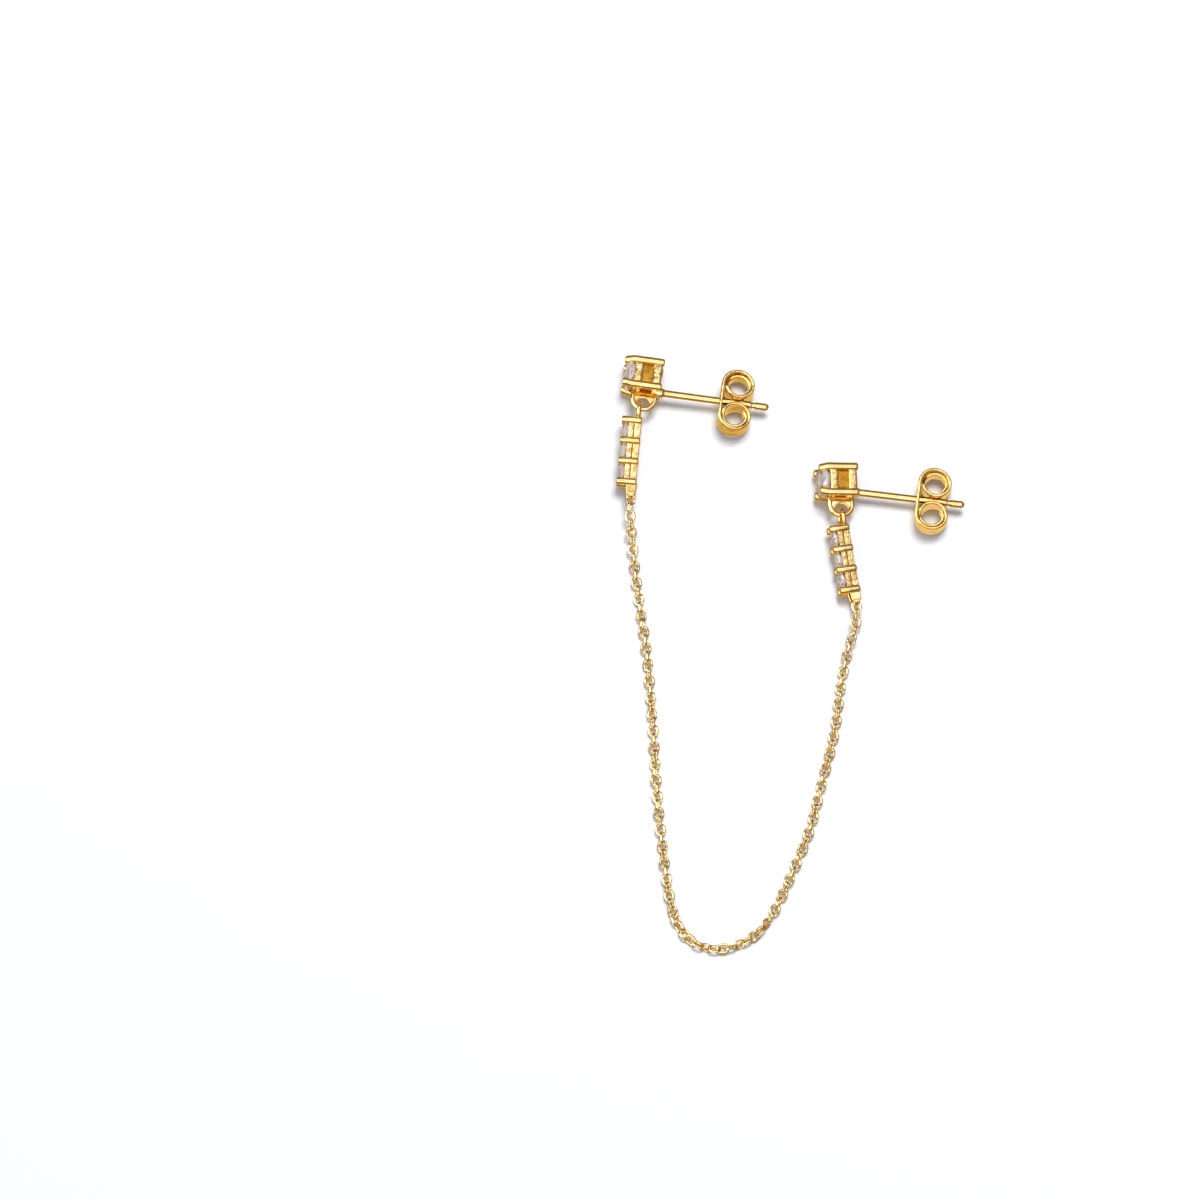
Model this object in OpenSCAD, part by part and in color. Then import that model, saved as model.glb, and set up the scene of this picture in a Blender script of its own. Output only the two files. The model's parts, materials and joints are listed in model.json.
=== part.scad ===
// Ear chain earring: two prong studs with stone drops, joined by one fine cable chain.
// It lies flat on a surface at z = 0, stone faces to -X, posts to +X, drops and chain to -Y.
// Lengths are in millimetres.

/* [Stones] */
// Diameter of a stud's large stone
big_stone_d = 3.1; // [2.9:0.05:3.3]
// Diameter of a small stone in a drop
drop_stone_d = 1.8; // [1.6:0.05:1.9]
// Width of a stone's table, as a share of its diameter
table_share = 0.57; // [0.5:0.01:0.62]
// Height of a stone's crown, as a share of its diameter
crown_share = 0.15; // [0.12:0.01:0.17]
// Height of a stone's girdle, as a share of its diameter
girdle_share = 0.04; // [0.02:0.01:0.05]
// Depth of a stone's pavilion, as a share of its diameter
pavilion_share = 0.43; // [0.4:0.01:0.45]
// Gap left between a stone and its setting
stone_gap = 0.03; // [0.02:0.01:0.05]

/* [Stud setting] */
// Diameter of a stud's four prongs
big_prong_d = 0.76; // [0.64:0.02:0.8]
// How far the large stone's edge sits into the prongs
stone_bite = 0.14; // [0.12:0.01:0.22]
// Length of the setting, from prong tips to back
setting_l = 3.85; // [3.7:0.05:4.3]
// Depth of the large stone's table behind the prong tips
table_inset = 0.15; // [0.1:0.01:0.25]
// Gap between the large stone's girdle and the rail behind it
seat_gap = 0.3; // [0.2:0.01:0.4]
// Length of the rail behind the stone
front_rail_l = 0.85; // [0.7:0.05:1]
// Length of the rail at the back
back_rail_l = 1; // [0.8:0.05:1.1]
// Wall of the two square rails
rail_wall = 0.38; // [0.3:0.02:0.42]
// How far the rails' flat sides stand out past the prongs' centres
rail_proud = 0.14; // [0.12:0.01:0.26]
// Depth of the closed side between the rails below the rails' flat sides
side_depth = 0.26; // [0.2:0.01:0.3]
// Wall of the closed side between the rails
side_wall = 0.16; // [0.14:0.01:0.2]

/* [Hanging loop] */
// Diameter of the loop's wire
loop_wire_d = 0.46; // [0.4:0.02:0.5]
// Width of the loop between its wires' centres
loop_w = 2.15; // [2:0.05:2.3]
// How far the loop reaches below the rails
loop_reach = 1.89; // [1.6:0.01:2]
// Distance of the loop's middle from the prong tips
loop_at = 2.3; // [2.2:0.05:2.45]
// Height of the loop's opening in its middle
loop_open_h = 0.88; // [0.84:0.02:0.94]
// Radius of the arch over the loop's opening
loop_arch_r = 0.66; // [0.62:0.01:0.7]
// Diameter of the rim round the arch
loop_rim_d = 0.28; // [0.24:0.02:0.32]
// Thickness of the web above the arch
loop_web_t = 0.2; // [0.16:0.02:0.24]

/* [Post] */
// Diameter of the ear post
post_d = 0.7; // [0.6:0.02:0.8]
// Length of the ear post, from the setting's back to its tip
post_l = 10.5; // [9.8:0.1:11]
// Distance from the tip to the middle of the friction groove
groove_from_tip = 1.5; // [1.4:0.05:1.6]
// Radius of the friction groove's round bottom
groove_r = 0.52; // [0.48:0.01:0.6]
// Depth of the friction groove
groove_depth = 0.07; // [0.06:0.01:0.08]
// Diameter of the solder collar at the post's root
collar_d = 0.94; // [0.86:0.02:1]
// Length of the solder collar
collar_l = 0.35; // [0.25:0.05:0.5]

/* [Ear nut] */
// Radial gap between the nut's hole and the post
nut_gap = 0.04; // [0.03:0.01:0.06]
// Thickness of the nut's sheet
nut_sheet = 0.3; // [0.26:0.01:0.34]
// Width of the nut's sheet at its plate
nut_plate_w = 2.8; // [2.5:0.05:3]
// Width of the nut's sheet at the far side of its scrolls
nut_scroll_w = 1.8; // [1.5:0.05:2.2]
// Width of the nut's sheet in the inner turn of its scrolls
nut_inner_w = 1.5; // [1.2:0.05:1.7]
// Length of a scroll along the post
scroll_l = 3.2; // [3:0.05:3.4]
// Height of a scroll across the post
scroll_h = 2.84; // [2.6:0.02:3]
// Gap between the two scrolls where the post passes between them
scroll_gap = 0.44; // [0.4:0.02:0.6]
// Gap between the coils of a scroll
coil_gap = 0.05; // [0.04:0.01:0.08]

/* [Drop] */
// Gap between neighbouring small stones
drop_stone_gap = 0.22; // [0.16:0.01:0.3]
// Diameter of a drop's prongs
drop_prong_d = 0.7; // [0.56:0.02:0.74]
// Distance between the two prongs in a row
drop_row_w = 1.36; // [1.3:0.02:1.46]
// Depth of the drop, from prong tips to back
drop_depth = 1.95; // [1.85:0.05:2.1]
// Depth of the small stones' tables behind the prong tips
drop_table_inset = 0.12; // [0.08:0.01:0.16]
// Gap between the small stones' girdles and the rail behind them
drop_seat_gap = 0.14; // [0.1:0.01:0.18]
// Thickness of the drop's two pierced rails
drop_rail_t = 0.6; // [0.4:0.02:0.62]
// How far the drop's rails stand out past the prongs' centres
drop_rail_proud = 0.06; // [0.04:0.01:0.16]
// Diameter of the holes in the drop's rails
drop_hole_d = 1.16; // [1:0.02:1.3]

/* [Drop's ring and eye] */
// Diameter of the top ring's wire
ring_wire_d = 0.44; // [0.38:0.02:0.46]
// Outer diameter of the top ring
ring_d = 1.96; // [1.8:0.02:2.1]
// Distance of the top ring behind the middle of the drop's depth
ring_back = 0.6; // [0.5:0.05:0.7]
// Gap between the top ring and the hanging loop inside it
hang_gap = 0.09; // [0.08:0.01:0.12]
// Thickness of the eye's band, below the drop
eye_sheet = 0.26; // [0.22:0.01:0.3]
// Outer height of the eye's opening band
eye_d = 1.16; // [1.1:0.02:1.24]
// Length of the eye, from the drop to its tip
eye_l = 1.35; // [1.2:0.05:1.5]
// Width of the eye's band at the drop
eye_top_w = 1.12; // [0.9:0.02:1.2]
// Width of the eye's band where it starts to narrow
eye_low_w = 0.9; // [0.7:0.02:1]
// Length over which the eye's band narrows to its tip
eye_narrow_l = 0.2; // [0.15:0.01:0.25]
// Width of the eye's band at its tip, inside the first link
eye_tip_w = 0.42; // [0.3:0.02:0.44]
// Length of the eye's narrow tip
eye_tip_l = 0.36; // [0.3:0.02:0.5]
// Distance of the eye behind the middle of the drop's depth
eye_back = 0.5; // [0.3:0.05:0.6]
// How far the ring, the eye and the hanging loop are sunk in where they are soldered
solder_sink = 0.12; // [0.1:0.01:0.15]

/* [Chain] */
// Diameter of the chain links' wire
link_wire_d = 0.2; // [0.18:0.01:0.21]
// Outer width of a link
link_w = 1.03; // [0.95:0.01:1.1]
// Distance from one link's middle to the next, before it is fitted to the route
link_pitch = 0.82; // [0.76:0.01:0.9]
// Gap between interlocked links
link_gap = 0.12; // [0.1:0.01:0.14]
// Gap between an eye and the end link in it
hook_gap = 0.2; // [0.16:0.01:0.24]
// Length over which the chain comes down from a drop to the surface
settle_l = 8; // [6:0.5:12]
// Turn of the links about the chain at the bottom of its curve
lowest_roll = 40; // [0:5:45]

/* [Hidden] */
SIDES = ["left", "right"];
DROP_STONES = 3;
$fn = 24;

// The middle of the piece as it was laid out, which becomes the origin
layout_middle = [0.2, -0.5];

// Place and turn of each stud as it lies, left then right
stud_place = [[-13.98, 26.88], [4.62, 16.35]];
stud_turn = [[-6.5, 2.5, -7.5], [0, 12.5, 2.5]];

// Turn of each post, which leans a little from its setting
post_turn = [[-5, 2.2, -7.4], [0, 0, -7]];

// Distance of each post's root below its setting's middle, and of each ear nut's plate from the root
post_drop = [1.38, 0.95];
nut_stand = [5.7, 5.85];

// Distance of each drop along its hanging loop from the loop's lowest point, and the drop's turn
hang_shift = [-0.3, 0];
drop_turn = [[3, 0, -5], [4, 12, 10.5]];

// Route of the chain between the drops, as it lies
chain_route = [
    [-15.2, 13.3], [-14.6, 6.9], [-13.7, 0.5], [-13.1, -6.2], [-12.7, -13], [-12.1, -19.5],
    [-11.3, -25], [-10.4, -27.4], [-8.9, -28.9], [-7, -29.4], [-5.1, -29.1], [-3.2, -28],
    [-1.6, -26], [0.1, -22.4], [1.9, -18], [3.2, -13], [4.4, -8.1], [5.1, -3], [5.8, 0.2], [6.4, 2.2],
    [6.6, 3.9]
];

// Extra length of a cut that goes right through
through = 1;

// Claws that lean over a stone from its prongs, as shares of a prong's diameter, and their setback
claw_lean_share = 0.3;
claw_r_share = 0.42;
claw_setback = 0.02;

// How far out a stone's star facets reach from its table, and its lower facets from its girdle,
// as shares of the way to the girdle and to the culet
star_share = 0.54;
lower_share = 0.77;

// Stud setting, measured from the middle of the setting
prong_r = big_prong_d / 2;
prong_at = (big_stone_d / 2 - stone_bite + prong_r) / sqrt(2);
tips_x = -setting_l / 2;
rail_side = 2 * (prong_at + rail_proud);
rail_open = rail_side - 2 * rail_wall;
big_table_x = tips_x + table_inset;
front_rail_x = big_table_x + (crown_share + girdle_share) * big_stone_d + seat_gap;
back_rail_x = setting_l / 2 - back_rail_l;
back_rail_setback = 0.12;
loop_low = [tips_x + loop_at, -rail_side / 2 - loop_reach, 0];
arch_spring = 20;
post_sunk = 0.5;
prong_ends = [
    for (x = [-1, 1], y = [-1, 1], z = [-1, 1])
        [x * (setting_l / 2 - prong_r), y * prong_at, z * prong_at]
];

// Drop, measured from its top row of prongs, at the middle of its depth
row_pitch = drop_stone_d + drop_stone_gap;
drop_prong_r = drop_prong_d / 2;
drop_tips_x = -drop_depth / 2;
drop_table_x = drop_tips_x + drop_table_inset;
drop_front_rail_x = drop_table_x + (crown_share + girdle_share) * drop_stone_d + drop_seat_gap;
drop_rail_setback = 0.05;
drop_back_rail_x = drop_depth / 2 - drop_rail_t - drop_rail_setback;
drop_end_share = 0.7;
drop_rail_end = drop_end_share * drop_prong_r;
ring_y = drop_rail_end - solder_sink + ring_d / 2;
hang_y = ring_y + ring_d / 2 - ring_wire_d - hang_gap - loop_wire_d / 2;
drop_low = -DROP_STONES * row_pitch - drop_rail_end;
hook_y = drop_low - eye_l + eye_sheet + hook_gap + link_wire_d / 2;

// Ear nut, measured from the outer face of its plate, on the post's axis
post_r = post_d / 2;
nut_hole_r = post_r + nut_gap;
coil_step = nut_sheet + coil_gap;
scroll_wide = (scroll_l - nut_sheet + coil_step / 2) / 2;
scroll_tall = (scroll_h - nut_sheet + coil_step) / 2;
scroll_middle = [nut_sheet / 2 + scroll_wide, (scroll_gap + nut_sheet) / 2 + scroll_tall - 0.75 * coil_step];
scroll_steps = 60;
scroll_turn = 580;

// Turns of a point, about X, then Y, then Z
function turned(p, turn) =
    let (a = [p.x, p.y * cos(turn.x) - p.z * sin(turn.x), p.y * sin(turn.x) + p.z * cos(turn.x)])
    let (b = [a.x * cos(turn.y) + a.z * sin(turn.y), a.y, a.z * cos(turn.y) - a.x * sin(turn.y)])
    [b.x * cos(turn.z) - b.y * sin(turn.z), b.x * sin(turn.z) + b.y * cos(turn.z), b.z];

// Height at which a turned stud rests on its lowest prong
function rest_height(turn) = prong_r - min([for (p = prong_ends) turned(p, turn).z]);

function stud_at(side) = [
    stud_place[side].x - layout_middle.x,
    stud_place[side].y - layout_middle.y,
    rest_height(stud_turn[side])
];
function on_stud(p, side) = stud_at(side) + turned(p, stud_turn[side]);
function post_root(side) = on_stud([setting_l / 2, -post_drop[side], 0], side);
function hang_point(side) =
    loop_low + [hang_shift[side], loop_w / 2 - sqrt(pow(loop_w / 2, 2) - pow(hang_shift[side], 2)), 0];
function drop_at(side) =
    on_stud(hang_point(side), side) - turned([ring_back, hang_y, 0], drop_turn[side]);
function on_drop(p, side) = drop_at(side) + turned(p, drop_turn[side]);
function hook_at(side) = on_drop([eye_back, hook_y, 0], side);

// The chain's route: a smooth curve through the chosen points, from eye to eye
route_knots = [
    [hook_at(0).x, hook_at(0).y],
    for (p = chain_route) p - layout_middle,
    [hook_at(1).x, hook_at(1).y]
];
knots = len(route_knots);
function knot_step(i) = norm(route_knots[i + 1] - route_knots[i]);
function knot_way(i) =
    let (a = max(i - 1, 0), b = min(i + 1, knots - 1))
    (route_knots[b] - route_knots[a]) / (b - a == 2 ? knot_step(a) + knot_step(i) : knot_step(a));
function route_point(i, u) =
    let (d = knot_step(i))
    route_knots[i] * (2 * pow(u, 3) - 3 * pow(u, 2) + 1)
    + route_knots[i + 1] * (3 * pow(u, 2) - 2 * pow(u, 3))
    + knot_way(i) * d * (pow(u, 3) - 2 * pow(u, 2) + u)
    + knot_way(i + 1) * d * (pow(u, 3) - pow(u, 2));
route_parts = 16;
route = [
    for (i = [0 : knots - 2], k = [0 : route_parts - 1]) route_point(i, k / route_parts),
    route_knots[knots - 1]
];
function step_after(line, i) = i + 1 < len(line) ? norm(line[i + 1] - line[i]) : 0;
function marks(line) = [for (i = 0, s = 0; i < len(line); s = s + step_after(line, i), i = i + 1) s];
flat_marks = marks(route);
flat_l = flat_marks[len(route) - 1];

// The links roll together towards the bottom of the curve and back, from these shares of the route
roll_from = 0.42;
roll_full = 0.5;
roll_back = 0.58;
roll_none = 0.66;
function soft_step(u) = let (c = min(max(u, 0), 1)) c * c * (3 - 2 * c);
function extra_roll(share) =
    lowest_roll * (soft_step((share - roll_from) / (roll_full - roll_from))
    - soft_step((share - roll_back) / (roll_none - roll_back)));

// Heights along the route, so that the links rest on the surface between the two drops
link_bend_r = (link_w - link_wire_d) / 2;
floor_gap = 0.02;
function lying_height(share) = floor_gap + link_wire_d / 2 + link_bend_r * cos(extra_roll(share));
function route_height(s) =
    let (down = lying_height(s / flat_l))
    down + (hook_at(0).z - down) * (1 - soft_step(s / settle_l))
    + (hook_at(1).z - down) * (1 - soft_step((flat_l - s) / settle_l));
path = [for (i = [0 : len(route) - 1]) [route[i].x, route[i].y, route_height(flat_marks[i])]];
path_marks = marks(path);
path_l = path_marks[len(path) - 1];
x_marks = [for (i = [0 : len(path) - 1]) [path_marks[i], path[i].x]];
y_marks = [for (i = [0 : len(path) - 1]) [path_marks[i], path[i].y]];
z_marks = [for (i = [0 : len(path) - 1]) [path_marks[i], path[i].z]];
function chain_point(s) = [lookup(s, x_marks), lookup(s, y_marks), lookup(s, z_marks)];

// An odd number of links, so that both end links lie flat in the eyes
hook_l = link_gap + link_wire_d;
length_step = 0.002;
links = 2 * round(((path_l - hook_l) / link_pitch - 1) / 2) + 1;
fitted_pitch = (path_l - hook_l) / links;
link_l = round((fitted_pitch + link_gap + 2 * link_wire_d) / length_step) * length_step;
function link_mark(i) = (link_l - link_wire_d) / 2 + i * fitted_pitch;

// A prong with round ends along X, from x = 0, and a claw that leans over the stone
module prong(length, width, lean) {
    claw_r = claw_r_share * width;
    translate([width / 2, 0, 0]) rotate([0, 90, 0]) cylinder(d = width, h = length - width);
    for (x = [width / 2, length - width / 2]) translate([x, 0, 0]) sphere(d = width);
    translate([claw_r + claw_setback, 0, 0] + claw_lean_share * width * lean) sphere(r = claw_r);
}

// The room that a stone takes in its setting, opening towards -X
module stone_room(d) {
    r = d / 2 + stone_gap;
    table_r = table_share * d / 2 + stone_gap;
    crown_h = crown_share * d;
    girdle_h = girdle_share * d;
    pavilion_h = pavilion_share * d;
    rotate([0, 90, 0]) rotate_extrude() polygon([
        [0, -stone_gap],
        [table_r, -stone_gap],
        [r, crown_h - stone_gap],
        [r, crown_h + girdle_h + stone_gap],
        [0, crown_h + girdle_h + pavilion_h + stone_gap]
    ]);
}

// A round brilliant cut, its table at x = 0 facing -X
module brilliant(d) {
    r = d / 2;
    table_r = table_share * r;
    star_r = table_r + star_share * (r - table_r);
    crown_h = crown_share * d;
    girdle_h = girdle_share * d;
    pavilion_h = pavilion_share * d;
    star_x = crown_h * (star_r * cos(22.5) - table_r) / (r - table_r);
    main_r = (1 - lower_share) * r;
    main_x = crown_h + girdle_h + pavilion_h * (1 - (1 - lower_share) * cos(22.5));
    points = concat(
        [for (i = [0 : 7]) [0, table_r * cos(45 * i), table_r * sin(45 * i)]],
        [for (i = [0 : 7]) [star_x, star_r * cos(45 * i + 22.5), star_r * sin(45 * i + 22.5)]],
        [for (i = [0 : 15]) [crown_h, r * cos(22.5 * i), r * sin(22.5 * i)]],
        [for (i = [0 : 15]) [crown_h + girdle_h, r * cos(22.5 * i), r * sin(22.5 * i)]],
        [for (i = [0 : 7]) [main_x, main_r * cos(45 * i + 22.5), main_r * sin(45 * i + 22.5)]],
        [[crown_h + girdle_h + pavilion_h, 0, 0]]
    );
    table = 0;
    star = 8;
    top = 16;
    low = 32;
    main = 48;
    culet = 56;
    faces = concat(
        [[for (i = [0 : 7]) table + i]],
        [for (i = [0 : 7]) [table + i, star + i, table + (i + 1) % 8]],
        [for (i = [0 : 7]) [table + i, top + 2 * i, star + i]],
        [for (i = [0 : 7]) [table + i, star + (i + 7) % 8, top + 2 * i]],
        [for (i = [0 : 7]) [star + i, top + 2 * i, top + 2 * i + 1]],
        [for (i = [0 : 7]) [star + i, top + 2 * i + 1, top + (2 * i + 2) % 16]],
        [for (i = [0 : 15]) [top + i, low + i, low + (i + 1) % 16, top + (i + 1) % 16]],
        [for (i = [0 : 7]) [low + 2 * i + 1, low + 2 * i, main + i]],
        [for (i = [0 : 7]) [low + (2 * i + 2) % 16, low + 2 * i + 1, main + i]],
        [for (i = [0 : 7]) [low + 2 * i, main + (i + 7) % 8, main + i]],
        [for (i = [0 : 7]) [main + i, main + (i + 7) % 8, culet]]
    );
    polyhedron(points = points, faces = faces, convexity = 2);
}

// A square rail with a square opening, from x to x + length
module rail(x, length) {
    translate([x + length / 2, 0, 0]) difference() {
        cube([length, rail_side, rail_side], center = true);
        cube([length + through, rail_open, rail_open], center = true);
    }
}

// The closed side between the two rails: a square tube set back from their flat sides
module closed_side() {
    side = rail_side - 2 * side_depth;
    from = front_rail_x + front_rail_l - solder_sink;
    to = back_rail_x + solder_sink;
    translate([(from + to) / 2, 0, 0]) difference() {
        cube([to - from, side, side], center = true);
        cube([to - from + through, side - 2 * side_wall, side - 2 * side_wall], center = true);
    }
}

// Four round-ended prongs, their claws over the stone, two rails and the side between them
module setting() {
    difference() {
        union() {
            for (y = [-1, 1], z = [-1, 1])
                translate([tips_x, y * prong_at, z * prong_at])
                    prong(setting_l, big_prong_d, [0, -y, -z]);
            rail(front_rail_x, front_rail_l);
            rail(back_rail_x, back_rail_l - back_rail_setback);
            closed_side();
        }
        translate([big_table_x, 0, 0]) stone_room(big_stone_d);
    }
}

// The loop that the drop hangs from, soldered to the rails, its upper part closed by an arched web
module hanging_loop() {
    bend_r = loop_w / 2;
    bend_y = loop_low.y + bend_r;
    leg_top = -rail_side / 2 + solder_sink;
    arch_y = loop_low.y + loop_wire_d / 2 + loop_open_h - loop_arch_r;
    rim_r = loop_arch_r + loop_rim_d / 2;
    translate([loop_low.x, arch_y, 0]) rotate([0, 0, arch_spring])
        rotate_extrude(angle = 180 - 2 * arch_spring) translate([rim_r, 0]) circle(d = loop_rim_d);
    translate([loop_low.x, 0, 0]) linear_extrude(height = loop_web_t, center = true) difference() {
        translate([-bend_r, arch_y]) square([2 * bend_r, leg_top - arch_y]);
        translate([0, arch_y]) circle(r = rim_r);
        translate([-bend_r - through, arch_y - through])
            square([2 * (bend_r + through), through + rim_r * sin(arch_spring)]);
    }
    translate([loop_low.x, bend_y, 0])
        rotate([0, 0, 180]) rotate_extrude(angle = 180) translate([bend_r, 0]) circle(d = loop_wire_d);
    for (x = [-1, 1])
        translate([loop_low.x + x * bend_r, bend_y, 0])
            rotate([-90, 0, 0]) cylinder(d = loop_wire_d, h = leg_top - bend_y);
}

// The ear post along X from its root, with a round tip and a friction groove
module post() {
    difference() {
        union() {
            translate([-post_sunk, 0, 0]) rotate([0, 90, 0])
                cylinder(d = post_d, h = post_l + post_sunk - post_r);
            translate([post_l - post_r, 0, 0]) sphere(d = post_d);
            translate([-post_sunk / 2, 0, 0]) rotate([0, 90, 0])
                cylinder(d1 = collar_d, d2 = post_d, h = post_sunk / 2 + collar_l);
        }
        translate([post_l - groove_from_tip, 0, 0]) rotate([0, 90, 0])
            rotate_extrude() translate([post_r + groove_r - groove_depth, 0]) circle(r = groove_r);
    }
}

// A stud as it lies: setting, hanging loop and post, soldered into one
module stud(side) {
    color("goldenrod") union() {
        translate(stud_at(side)) rotate(stud_turn[side]) {
            setting();
            hanging_loop();
        }
        translate(post_root(side)) rotate(post_turn[side]) post();
    }
}

module stud_stone(side) {
    color("mistyrose", 0.7)
        translate(stud_at(side)) rotate(stud_turn[side])
            translate([big_table_x, 0, 0]) brilliant(big_stone_d);
}

// One point of a scroll's middle line: an oval that closes in a little as it winds
function scroll_point(turn) =
    let (
        angle = 180 - turn,
        closed = coil_step * turn / 360
    )
    scroll_middle + [(scroll_wide - closed) * cos(angle), (scroll_tall - closed) * sin(angle)];

// The sheet's section seen along its width: a plate with a scroll wound on at each end
module nut_section() {
    line = [
        for (k = [0 : scroll_steps]) scroll_point(k * scroll_turn / scroll_steps)
    ];
    ways = [
        for (k = [0 : scroll_steps])
            let (a = line[max(k - 1, 0)], b = line[min(k + 1, scroll_steps)])
            (b - a) / norm(b - a)
    ];
    half = nut_sheet / 2;
    inner = [for (k = [0 : scroll_steps]) line[k] - half * [-ways[k].y, ways[k].x]];
    outer = [for (k = [scroll_steps : -1 : 0]) line[k] + half * [-ways[k].y, ways[k].x]];
    upper = concat(inner, outer);
    lower = [for (k = [len(upper) - 1 : -1 : 0]) [upper[k].x, -upper[k].y]];
    polygon(concat(upper, lower));
}

// The space inside a scroll's first turn, its edge halfway to the next turn
module inside_turn() {
    polygon([
        for (turn = [360 : -10 : 0])
            let (closed = coil_step * (turn / 360 + 0.5), angle = 180 - turn)
            scroll_middle + [(scroll_wide - closed) * cos(angle), (scroll_tall - closed) * sin(angle)]
    ]);
}

// The ear nut, its plate at x = 0 and its scrolls to +X, on either side of the post
module ear_nut(side) {
    tall = 2 * (scroll_gap + 2 * scroll_h);
    deep = scroll_l + through;
    color("gold")
        translate(post_root(side)) rotate(post_turn[side]) translate([nut_stand[side], 0, 0])
            difference() {
                intersection() {
                    linear_extrude(height = nut_plate_w, center = true) nut_section();
                    rotate([90, 0, 0]) linear_extrude(height = tall, center = true) polygon([
                        [-through, -nut_plate_w / 2],
                        [nut_sheet, -nut_plate_w / 2],
                        [scroll_l, -nut_scroll_w / 2],
                        [deep, -nut_scroll_w / 2],
                        [deep, nut_scroll_w / 2],
                        [scroll_l, nut_scroll_w / 2],
                        [nut_sheet, nut_plate_w / 2],
                        [-through, nut_plate_w / 2]
                    ]);
                }
                translate([-through, 0, 0])
                    rotate([0, 90, 0]) cylinder(r = nut_hole_r, h = scroll_l + 2 * through);
                for (over = [0, 1], lower = [0, 1])
                    mirror([0, 0, over]) mirror([0, lower, 0])
                        translate([0, 0, nut_inner_w / 2]) linear_extrude(height = nut_plate_w) inside_turn();
            }
}

// One of the drop's two long rails, pierced behind each stone
module drop_rail(x) {
    difference() {
        translate([x, drop_low, -drop_row_w / 2 - drop_rail_proud])
            cube([drop_rail_t, drop_rail_end - drop_low, drop_row_w + 2 * drop_rail_proud]);
        for (k = [1 : DROP_STONES])
            translate([x - through, -(k - 0.5) * row_pitch, 0])
                rotate([0, 90, 0]) cylinder(d = drop_hole_d, h = drop_rail_t + 2 * through);
    }
}

// The outline of a long loop from y = up down to a round end at y = -reach
module loop_outline(width, up, reach) {
    translate([0, width / 2 - reach]) circle(d = width);
    translate([-width / 2, width / 2 - reach]) square([width, reach + up - width / 2]);
}

// The eye below the drop: a band bent round, its opening along X, narrowing to its tip
module eye() {
    intersection() {
        rotate([0, 90, 0]) linear_extrude(height = 2 * eye_top_w, center = true) difference() {
            loop_outline(eye_d, solder_sink, eye_l);
            loop_outline(eye_d - 2 * eye_sheet, -eye_sheet, eye_l - eye_sheet);
        }
        linear_extrude(height = 2 * eye_d, center = true) polygon([
            [-eye_top_w / 2, solder_sink],
            [-eye_low_w / 2, eye_tip_l + eye_narrow_l - eye_l],
            [-eye_tip_w / 2, eye_tip_l - eye_l],
            [-eye_tip_w / 2, -eye_l],
            [eye_tip_w / 2, -eye_l],
            [eye_tip_w / 2, eye_tip_l - eye_l],
            [eye_low_w / 2, eye_tip_l + eye_narrow_l - eye_l],
            [eye_top_w / 2, solder_sink]
        ]);
    }
}

// A drop as it lies: rows of shared prongs, two rails, a ring above and an eye below
module drop(side) {
    color("goldenrod") translate(drop_at(side)) rotate(drop_turn[side]) {
        difference() {
            union() {
                for (row = [0 : DROP_STONES], z = [-1, 1])
                    translate([drop_tips_x, -row * row_pitch, z * drop_row_w / 2])
                        prong(drop_depth, drop_prong_d, [0, 0, -z]);
                drop_rail(drop_front_rail_x);
                drop_rail(drop_back_rail_x);
            }
            for (k = [1 : DROP_STONES])
                translate([drop_table_x, -(k - 0.5) * row_pitch, 0]) stone_room(drop_stone_d);
        }
        translate([ring_back, ring_y, 0]) rotate([0, 90, 0])
            rotate_extrude() translate([(ring_d - ring_wire_d) / 2, 0]) circle(d = ring_wire_d);
        translate([eye_back, drop_low, 0]) eye();
    }
}

module drop_stone(side, k) {
    color("mistyrose", 0.7)
        translate(drop_at(side)) rotate(drop_turn[side])
            translate([drop_table_x, -(k - 0.5) * row_pitch, 0]) brilliant(drop_stone_d);
}

// One oval link along X, flat in XY
module link() {
    straight = link_l - link_w;
    for (end = [0, 180]) rotate([0, 0, end]) {
        translate([straight / 2, 0, 0]) rotate([0, 0, -90])
            rotate_extrude(angle = 180) translate([link_bend_r, 0]) circle(d = link_wire_d);
        translate([-straight / 2, link_bend_r, 0])
            rotate([0, 90, 0]) cylinder(d = link_wire_d, h = straight);
    }
}

// The chain: links strung along the route, each rolled a quarter turn from the last
module chain() {
    color("gold") for (i = [0 : links - 1]) {
        s = link_mark(i);
        way = chain_point(s + fitted_pitch / 2) - chain_point(s - fitted_pitch / 2);
        yaw = atan2(way.y, way.x);
        slope = -atan2(way.z, norm([way.x, way.y]));
        roll = 90 * (i % 2) + extra_roll(s / path_l);
        translate(chain_point(s)) rotate([roll, slope, yaw]) link();
    }
}

stud(0);  // left_stud
stud_stone(0);  // left_stone
ear_nut(0);  // left_ear_nut
drop(0);  // left_drop
drop_stone(0, 1);  // left_drop_stone_1
drop_stone(0, 2);  // left_drop_stone_2
drop_stone(0, 3);  // left_drop_stone_3
stud(1);  // right_stud
stud_stone(1);  // right_stone
ear_nut(1);  // right_ear_nut
drop(1);  // right_drop
drop_stone(1, 1);  // right_drop_stone_1
drop_stone(1, 2);  // right_drop_stone_2
drop_stone(1, 3);  // right_drop_stone_3
chain();
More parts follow.
